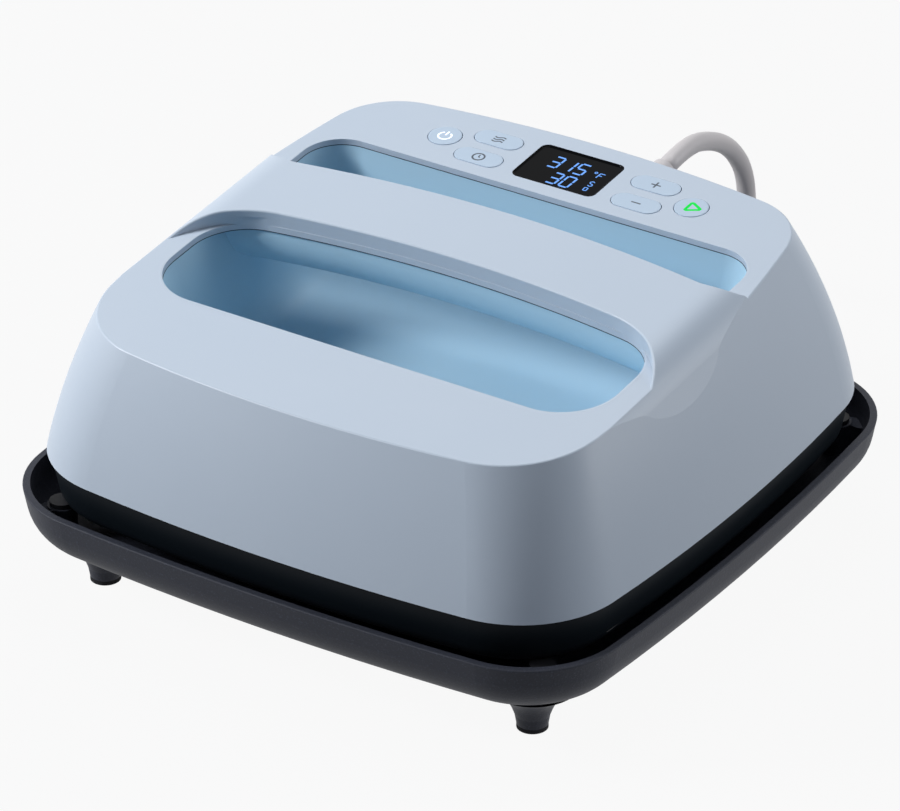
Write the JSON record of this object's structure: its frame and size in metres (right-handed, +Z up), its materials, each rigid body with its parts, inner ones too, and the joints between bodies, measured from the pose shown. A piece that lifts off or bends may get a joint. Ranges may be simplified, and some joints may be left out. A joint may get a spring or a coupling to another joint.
{
  "type": "craft heat press",
  "caption": "Square handheld heat press with a flush hand well, bridge handle and button panel, resting on a footed safety tray, with coiled mains cord.",
  "frame": {"origin": "on the surface the feet stand on, under the middle of the tray", "axes": "+Z up, front (hand well side) toward -Y, +X to the right along the handle as seen from the front"},
  "size_m": [0.3268, 0.4218, 0.1326],
  "materials": {
    "black_plastic": "satin",
    "capacitor_sleeve": "sleeve",
    "cast_aluminium": "cast, coated face",
    "charcoal_plastic": "fine texture",
    "cord_grey": "satin",
    "deep_blue_plastic": "matte",
    "element_steel": "drawn tube",
    "glass_wool": "fibre mat",
    "green_board": "board laminate",
    "grey_rubber": "matte",
    "light_blue_plastic": "satin",
    "pin_brass": "bright",
    "relay_blue": "moulded",
    "silicone": "matte",
    "smoked_window": "smoked clear",
    "terminal_green": "moulded",
    "transformer_yellow": "taped winding",
    "white_ceramic": null,
    "white_nylon": "moulded",
    "zinc_steel": "zinc plated"
  },
  "bodies": {
    "safety_base": {"base_tray": "charcoal_plastic", "foot_pads": "grey_rubber", "rest_pads": "silicone", "cord_coil": "cord_grey", "power_plug": "cord_grey", "plug_pins": "pin_brass"},
    "press": {"top_shell": "light_blue_plastic", "hand_well_liner": "deep_blue_plastic", "handle_underside": "deep_blue_plastic", "lower_housing": "black_plastic", "heat_plate": "cast_aluminium", "heating_element": "element_steel", "plate_spacers": "white_ceramic", "plate_screws": "zinc_steel", "insulation_blanket": "glass_wool", "thermal_cutout": "element_steel", "temperature_sensor": "white_ceramic", "heat_shield": "zinc_steel", "housing_screws": "zinc_steel", "key_carrier": "black_plastic", "display_window": "smoked_window", "display_module": "black_plastic", "control_board": "green_board", "tact_switches": "black_plastic", "board_screws": "zinc_steel", "beeper": "black_plastic", "power_board": "green_board", "board_pillars": "white_nylon", "triac_heat_sink": "cast_aluminium", "power_relay": "relay_blue", "supply_transformer": "transformer_yellow", "smoothing_capacitor": "capacitor_sleeve", "terminal_block": "terminal_green", "strain_relief": "cord_grey", "cord_lead": "cord_grey"},
    "power_key": {"power_button": "light_blue_plastic"},
    "heat_key": {"heat_button": "light_blue_plastic"},
    "timer_key": {"timer_button": "light_blue_plastic"},
    "plus_key": {"plus_button": "light_blue_plastic"},
    "minus_key": {"minus_button": "light_blue_plastic"},
    "start_key": {"start_button": "light_blue_plastic"}
  },
  "joints": [
    {"name": "lift_off", "type": "slide", "parent": "safety_base", "child": "press", "axis": [0, 0, 1], "range_m": [0, 0.06]},
    {"name": "power_press", "type": "slide", "parent": "press", "child": "power_key", "axis": [0, 0.0818, -0.9967], "range_m": [0, 0.0008], "stiffness_N_per_m": 800},
    {"name": "heat_press", "type": "slide", "parent": "press", "child": "heat_key", "axis": [0, 0.0818, -0.9967], "range_m": [0, 0.0008], "stiffness_N_per_m": 800},
    {"name": "timer_press", "type": "slide", "parent": "press", "child": "timer_key", "axis": [0, 0.0818, -0.9967], "range_m": [0, 0.0008], "stiffness_N_per_m": 800},
    {"name": "plus_press", "type": "slide", "parent": "press", "child": "plus_key", "axis": [0, 0.0818, -0.9967], "range_m": [0, 0.0008], "stiffness_N_per_m": 800},
    {"name": "minus_press", "type": "slide", "parent": "press", "child": "minus_key", "axis": [0, 0.0818, -0.9967], "range_m": [0, 0.0008], "stiffness_N_per_m": 800},
    {"name": "start_press", "type": "slide", "parent": "press", "child": "start_key", "axis": [0, 0.0818, -0.9967], "range_m": [0, 0.0008], "stiffness_N_per_m": 800}
  ]
}
